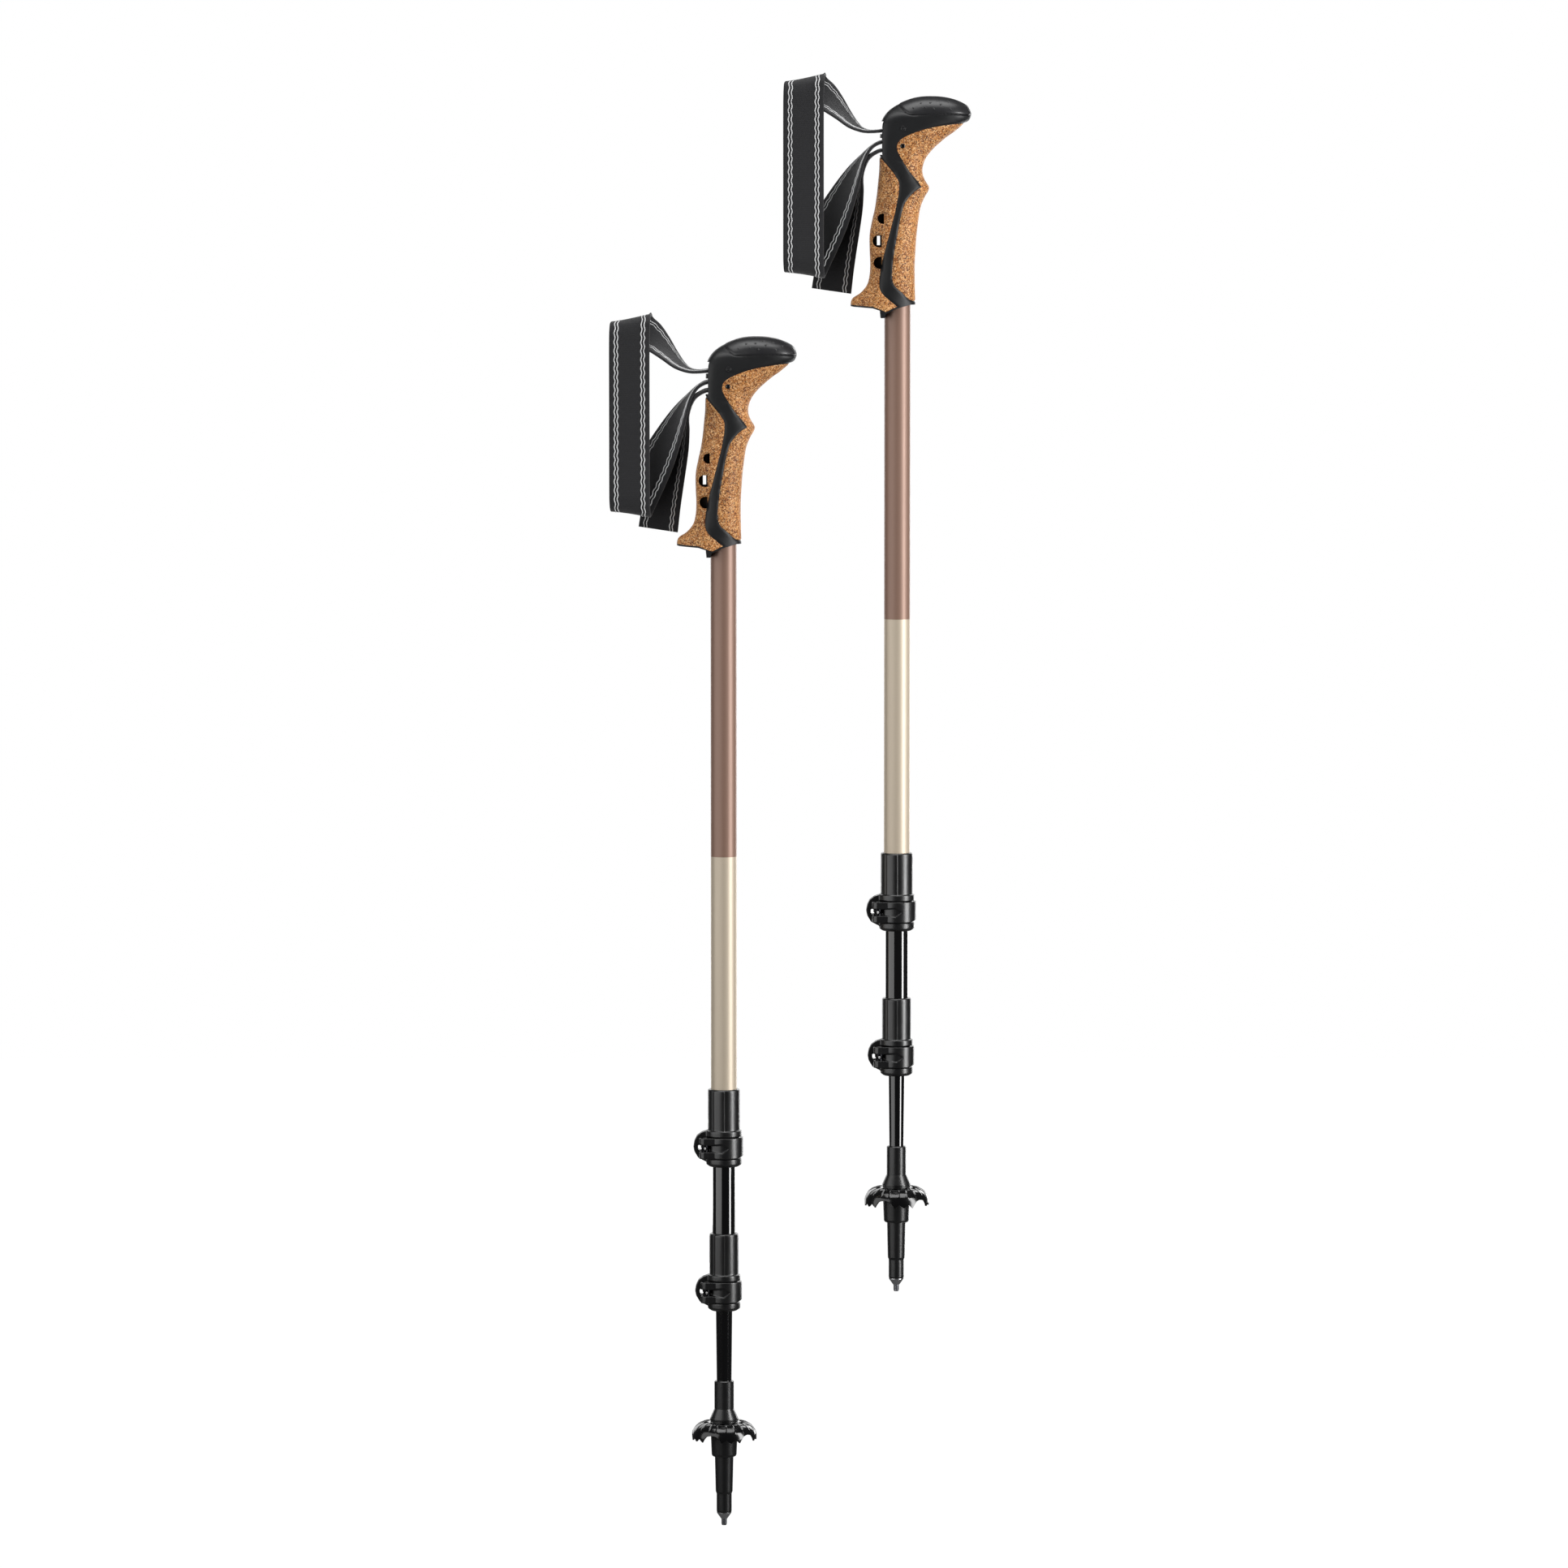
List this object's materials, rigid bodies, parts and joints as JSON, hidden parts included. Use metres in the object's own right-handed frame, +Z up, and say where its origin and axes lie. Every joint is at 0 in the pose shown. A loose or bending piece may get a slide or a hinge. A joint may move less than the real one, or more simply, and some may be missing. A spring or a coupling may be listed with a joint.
{
  "type": "pair of trekking poles",
  "caption": "Telescopic trekking poles with cork grips, wrist straps, lever clamps, baskets and carbide tips.",
  "frame": {"origin": "ground contact point of the left pole's tip, on its shaft axis", "axes": "+Z up along the shafts, +X the way the grips' beaks point, -Y towards the clamps' levers"},
  "size_m": [0.249, 0.0456, 1.011],
  "materials": {
    "grip_black": "matt soft-touch moulding",
    "pad_black": "fine grained moulding",
    "cork": "sanded agglomerated cork",
    "webbing": "woven webbing",
    "tube_bronze": "satin metallic",
    "tube_black": "gloss black",
    "clamp_nylon": "moulded glass-filled nylon",
    "steel": "turned",
    "tip_black": "satin moulding",
    "basket_black": "gloss moulding",
    "carbide": "sintered"
  },
  "bodies": {
    "left_upper_section": {"left_grip_frame": "grip_black", "left_grip_cork_front": "cork", "left_grip_cork_rear": "cork", "left_grip_top_pad": "pad_black", "left_grip_collar": "grip_black", "left_strap_pin": "steel", "left_strap_guide_pin": "steel", "left_wrist_strap": "webbing", "left_upper_tube": "tube_bronze", "left_upper_tube_plug": "clamp_nylon", "left_upper_clamp_collar": "clamp_nylon", "left_upper_clamp_barrel": "steel", "left_upper_clamp_washer": "steel"},
    "left_middle_section": {"left_middle_tube": "tube_black", "left_middle_tube_bush": "clamp_nylon", "left_lower_clamp_collar": "clamp_nylon", "left_lower_clamp_barrel": "steel", "left_lower_clamp_washer": "steel"},
    "left_lower_section": {"left_lower_tube": "tube_black", "left_lower_tube_bush": "clamp_nylon", "left_tip_sleeve": "tip_black", "left_tip_ferrule": "steel", "left_carbide_tip": "carbide"},
    "left_basket": {"left_basket_hub": "tip_black", "left_basket_disc": "basket_black"},
    "left_strap_lock": {"left_strap_wedge": "clamp_nylon"},
    "left_upper_lever": {"left_upper_clamp_lever": "clamp_nylon"},
    "left_upper_screw": {"left_upper_clamp_screw": "steel"},
    "left_lower_lever": {"left_lower_clamp_lever": "clamp_nylon"},
    "left_lower_screw": {"left_lower_clamp_screw": "steel"},
    "right_upper_section": {"right_grip_frame": "grip_black", "right_grip_cork_front": "cork", "right_grip_cork_rear": "cork", "right_grip_top_pad": "pad_black", "right_grip_collar": "grip_black", "right_strap_pin": "steel", "right_strap_guide_pin": "steel", "right_wrist_strap": "webbing", "right_upper_tube": "tube_bronze", "right_upper_tube_plug": "clamp_nylon", "right_upper_clamp_collar": "clamp_nylon", "right_upper_clamp_barrel": "steel", "right_upper_clamp_washer": "steel"},
    "right_middle_section": {"right_middle_tube": "tube_black", "right_middle_tube_bush": "clamp_nylon", "right_lower_clamp_collar": "clamp_nylon", "right_lower_clamp_barrel": "steel", "right_lower_clamp_washer": "steel"},
    "right_lower_section": {"right_lower_tube": "tube_black", "right_lower_tube_bush": "clamp_nylon", "right_tip_sleeve": "tip_black", "right_tip_ferrule": "steel", "right_carbide_tip": "carbide"},
    "right_basket": {"right_basket_hub": "tip_black", "right_basket_disc": "basket_black"},
    "right_strap_lock": {"right_strap_wedge": "clamp_nylon"},
    "right_upper_lever": {"right_upper_clamp_lever": "clamp_nylon"},
    "right_upper_screw": {"right_upper_clamp_screw": "steel"},
    "right_lower_lever": {"right_lower_clamp_lever": "clamp_nylon"},
    "right_lower_screw": {"right_lower_clamp_screw": "steel"}
  },
  "joints": [
    {"name": "left_middle_slide", "type": "slide", "parent": "left_upper_section", "child": "left_middle_section", "axis": [0, 0, -1], "range_m": [-0.046, 0.25]},
    {"name": "left_lower_slide", "type": "slide", "parent": "left_middle_section", "child": "left_lower_section", "axis": [0, 0, -1], "range_m": [-0.048, 0.25]},
    {"name": "left_upper_lever_swing", "type": "hinge", "parent": "left_upper_section", "child": "left_upper_lever", "pos_m": [-0.0131, -0.0083, 0.2662], "axis": [0, 0, -1], "range_deg": [0, 140]},
    {"name": "left_upper_screw_turn", "type": "hinge", "parent": "left_upper_section", "child": "left_upper_screw", "pos_m": [-0.0131, 0.006, 0.2662], "axis": [0, 1, 0], "range_deg": [-180, 180]},
    {"name": "left_lower_lever_swing", "type": "hinge", "parent": "left_middle_section", "child": "left_lower_lever", "pos_m": [-0.012, -0.0079, 0.165], "axis": [0, 0, -1], "range_deg": [0, 140]},
    {"name": "left_lower_screw_turn", "type": "hinge", "parent": "left_middle_section", "child": "left_lower_screw", "pos_m": [-0.012, 0.006, 0.165], "axis": [0, 1, 0], "range_deg": [-180, 180]},
    {"name": "left_basket_turn", "type": "hinge", "parent": "left_lower_section", "child": "left_basket", "pos_m": [0, 0, 0.06], "axis": [0, 0, 1], "range_deg": [-360, 0]},
    {"name": "left_strap_lock_slide", "type": "slide", "parent": "left_upper_section", "child": "left_strap_lock", "axis": [-1, 0, 0], "range_m": [0, 0.004]},
    {"name": "right_pole_apart", "type": "slide", "parent": "left_upper_section", "child": "right_upper_section", "axis": [1, 0, 0], "range_m": [0, 0.3]},
    {"name": "right_middle_slide", "type": "slide", "parent": "right_upper_section", "child": "right_middle_section", "axis": [0, 0, -1], "range_m": [-0.046, 0.25]},
    {"name": "right_lower_slide", "type": "slide", "parent": "right_middle_section", "child": "right_lower_section", "axis": [0, 0, -1], "range_m": [-0.048, 0.25]},
    {"name": "right_upper_lever_swing", "type": "hinge", "parent": "right_upper_section", "child": "right_upper_lever", "pos_m": [0.1069, -0.0083, 0.4312], "axis": [0, 0, -1], "range_deg": [0, 140]},
    {"name": "right_upper_screw_turn", "type": "hinge", "parent": "right_upper_section", "child": "right_upper_screw", "pos_m": [0.1069, 0.006, 0.4312], "axis": [0, 1, 0], "range_deg": [-180, 180]},
    {"name": "right_lower_lever_swing", "type": "hinge", "parent": "right_middle_section", "child": "right_lower_lever", "pos_m": [0.108, -0.0079, 0.33], "axis": [0, 0, -1], "range_deg": [0, 140]},
    {"name": "right_lower_screw_turn", "type": "hinge", "parent": "right_middle_section", "child": "right_lower_screw", "pos_m": [0.108, 0.006, 0.33], "axis": [0, 1, 0], "range_deg": [-180, 180]},
    {"name": "right_basket_turn", "type": "hinge", "parent": "right_lower_section", "child": "right_basket", "pos_m": [0.12, 0, 0.225], "axis": [0, 0, 1], "range_deg": [-360, 0]},
    {"name": "right_strap_lock_slide", "type": "slide", "parent": "right_upper_section", "child": "right_strap_lock", "axis": [-1, 0, 0], "range_m": [0, 0.004]}
  ]
}
